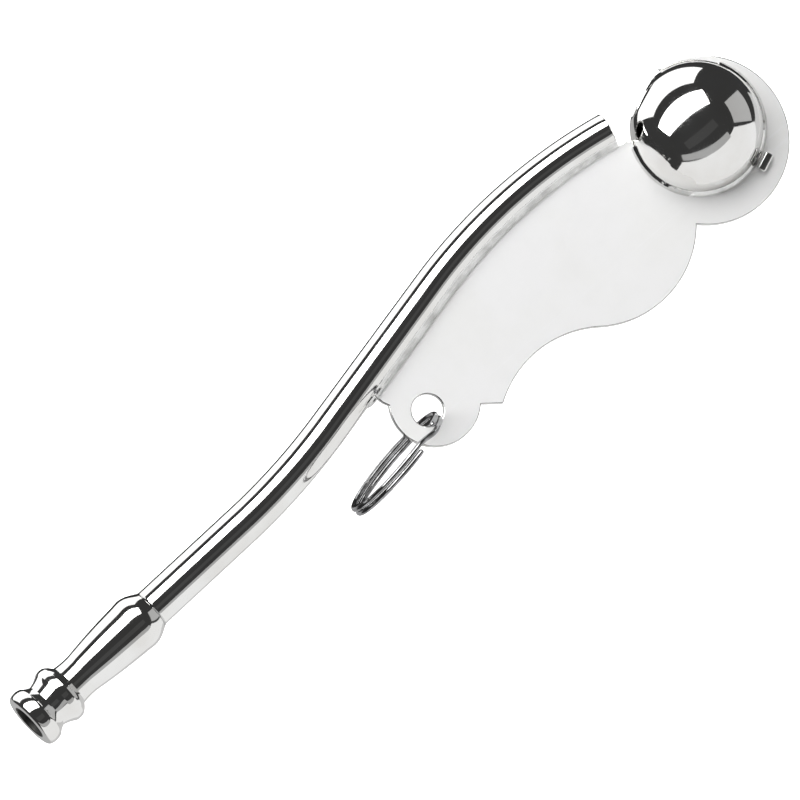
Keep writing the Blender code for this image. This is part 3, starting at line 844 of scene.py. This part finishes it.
def metal(name, look):
    """A worn metal: tarnish clouds, handling marks, fine scratches and brighter edges."""
    material = bpy.data.materials.new(name)
    material.use_nodes = True
    tree = material.node_tree
    shader = tree.nodes["Principled BSDF"]
    shader.inputs["Metallic"].default_value = 1
    coordinates = add_node(tree, "ShaderNodeTexCoord").outputs["Object"]
    clouds = band(tree, noise(tree, coordinates, look["cloud_scale"], CLOUD_DETAIL), *CLOUD_RANGE)
    colour = blend_colours(tree, clouds, look["tarnish"], look["colour"])
    edges = band(tree, add_node(tree, "ShaderNodeNewGeometry").outputs["Pointiness"], *EDGE_RANGE)
    worn = add_node(tree, "ShaderNodeMix", data_type="RGBA")
    tree.links.new(edges, worn.inputs["Factor"])
    tree.links.new(colour, worn.inputs["A"])
    worn.inputs["B"].default_value = (*look["edge"], 1)
    tree.links.new(worn.outputs["Result"], shader.inputs["Base Color"])
    low, high = look["roughness"]
    marks = noise(tree, coordinates, look["mark_scale"], MARK_DETAIL)
    smears = band(tree, marks, *MARK_RANGE, low, high)
    dust = noise(tree, coordinates, look["grain_scale"], SPECKLE_DETAIL)
    speckle = band(tree, dust, *SPECKLE_RANGE, 0, look["speckle"])
    tree.links.new(sum_of(tree, smears, speckle), shader.inputs["Roughness"])
    scratches = noise(tree, coordinates, look["line_scale"], LINE_DETAIL, look["line_stretch"])
    lines = band(tree, scratches, *LINE_RANGE)
    grain = noise(tree, coordinates, look["grain_scale"], GRAIN_DETAIL)
    bump = add_node(tree, "ShaderNodeBump")
    bump.inputs["Strength"].default_value = look["bump"]
    bump.inputs["Distance"].default_value = look["depth"]
    tree.links.new(sum_of(tree, lines, grain), bump.inputs["Height"])
    tree.links.new(bump.outputs["Normal"], shader.inputs["Normal"])
    return material


LOOKS = {
    "polished_nickel": {
        "colour": (0.93, 0.93, 0.92),
        "tarnish": (0.86, 0.85, 0.83),
        "edge": (0.97, 0.97, 0.96),
        "roughness": (0.035, 0.1),
        "speckle": 0.02,
        "cloud_scale": 140,
        "mark_scale": 320,
        "grain_scale": 2600,
        "line_scale": 900,
        "line_stretch": (0.08, 1, 1),
        "bump": 0.05,
        "depth": 0.00001,
    },
    "satin_nickel": {
        "colour": (0.955, 0.955, 0.955),
        "tarnish": (0.945, 0.945, 0.94),
        "edge": (0.955, 0.955, 0.955),
        "roughness": (0.9, 0.96),
        "speckle": 0.02,
        "cloud_scale": 90,
        "mark_scale": 400,
        "grain_scale": 5200,
        "line_scale": 1500,
        "line_stretch": (0.12, 1, 1),
        "bump": 0.12,
        "depth": 0.00002,
    },
    # Painted shade: the inner walls of the gun, mouthpiece and buoy are coloured near black to stand for
    # the shade inside them.
    "bore": {
        "colour": (0.12, 0.12, 0.115),
        "tarnish": (0.05, 0.048, 0.045),
        "edge": (0.3, 0.3, 0.3),
        "roughness": (0.45, 0.6),
        "speckle": 0.1,
        "cloud_scale": 300,
        "mark_scale": 600,
        "grain_scale": 2600,
        "line_scale": 1200,
        "line_stretch": (0.2, 1, 1),
        "bump": 0.3,
        "depth": 0.00003,
    },
    "silver_solder": {
        "colour": (0.8, 0.8, 0.79),
        "tarnish": (0.56, 0.56, 0.55),
        "edge": (0.94, 0.94, 0.93),
        "roughness": (0.05, 0.14),
        "speckle": 0.03,
        "cloud_scale": 420,
        "mark_scale": 700,
        "grain_scale": 2200,
        "line_scale": 1200,
        "line_stretch": (1, 1, 1),
        "bump": 0.2,
        "depth": 0.00002,
    },
    "ring_steel": {
        "colour": (0.5, 0.5, 0.51),
        "tarnish": (0.26, 0.26, 0.26),
        "edge": (0.75, 0.75, 0.75),
        "roughness": (0.05, 0.12),
        "speckle": 0.03,
        "cloud_scale": 600,
        "mark_scale": 900,
        "grain_scale": 3400,
        "line_scale": 2000,
        "line_stretch": (1, 1, 0.2),
        "bump": 0.1,
        "depth": 0.00001,
    },
}


def dress(piece, material, body, *nodes, inside=None, slot=None):
    """Gives a piece its finishes and puts it on its body in place of the CAD nodes; the slot argument is
    not used.
    """
    piece.data.materials.append(material)
    if inside:
        piece.data.materials.append(inside)
    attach(piece, body)
    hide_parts(*nodes)


def make_pieces():
    finish = {slot: metal(slot + "_look", look) for slot, look in LOOKS.items()}
    nickel = finish["polished_nickel"]
    satin = finish["satin_nickel"]
    solder = finish["silver_solder"]
    # The inside finish given below is painted shade for the hollows of the gun, mouthpiece and buoy.
    dress(make_gun(), nickel, "call", "gun_tube", inside=finish["bore"])
    dress(make_mouthpiece(), nickel, "call", "mouthpiece", inside=finish["bore"])
    dress(make_mouthpiece_solder(), solder, "call", "mouthpiece_solder")
    dress(make_keel(), satin, "call", "keel_plate", inside=nickel)
    dress(make_toe_solder(), solder, "call", "keel_toe_solder")
    dress(make_buoy_stop(), nickel, "call", "buoy_stop", slot="satin_nickel")
    for facing, side in (("front", 1), ("back", -1)):
        cup = make_buoy_cup(f"buoy_shell_{facing}_visual", side)
        dress(cup, nickel, "call", f"buoy_shell_{facing}", inside=finish["bore"])
        dress(make_gun_solder(f"gun_solder_{facing}_visual", side), solder, "call", f"gun_solder_{facing}")
        fillet = make_buoy_solder(f"buoy_solder_{facing}_visual", side)
        dress(fillet, solder, "call", f"buoy_solder_{facing}")
    dress(make_ring(), finish["ring_steel"], "ring", "split_ring")


make_pieces()
make_sweep()
make_surround()
for card_name, card_tilt, card_bearing, *card_size in CARDS:
    make_card(card_name, math.radians(card_tilt), math.radians(card_bearing), *card_size)
make_camera()
